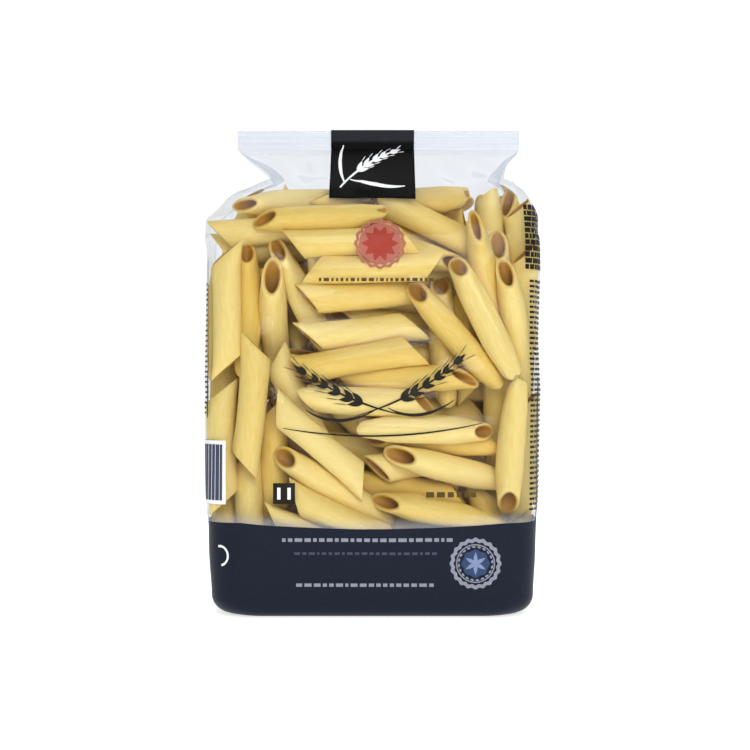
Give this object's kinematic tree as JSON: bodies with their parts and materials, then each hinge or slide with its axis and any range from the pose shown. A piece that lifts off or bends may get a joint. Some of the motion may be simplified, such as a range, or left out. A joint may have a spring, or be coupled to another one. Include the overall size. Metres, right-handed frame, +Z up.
{
  "type": "clear bag of dry penne pasta",
  "caption": "Sealed clear film bag of dry penne tubes, standing on a block bottom, with a dark printed base band and a black label folded over its top seal",
  "frame": {"origin": "centre of the base, on the surface it stands on", "axes": "+Z up through the seal, +X along the width, -Y out of the front"},
  "size_m": [0.1333, 0.069, 0.1977],
  "materials": {
    "film_and_pasta": "dry durum pasta behind clear polypropylene film",
    "clear_film": "clear glossy polypropylene film",
    "base_print": "navy ink printed on the film, glossy",
    "label_paper": "black coated paper label, semi-gloss"
  },
  "bodies": {
    "root": {"bag": "film_and_pasta", "closure_label": "label_paper"}
  },
  "joints": []
}
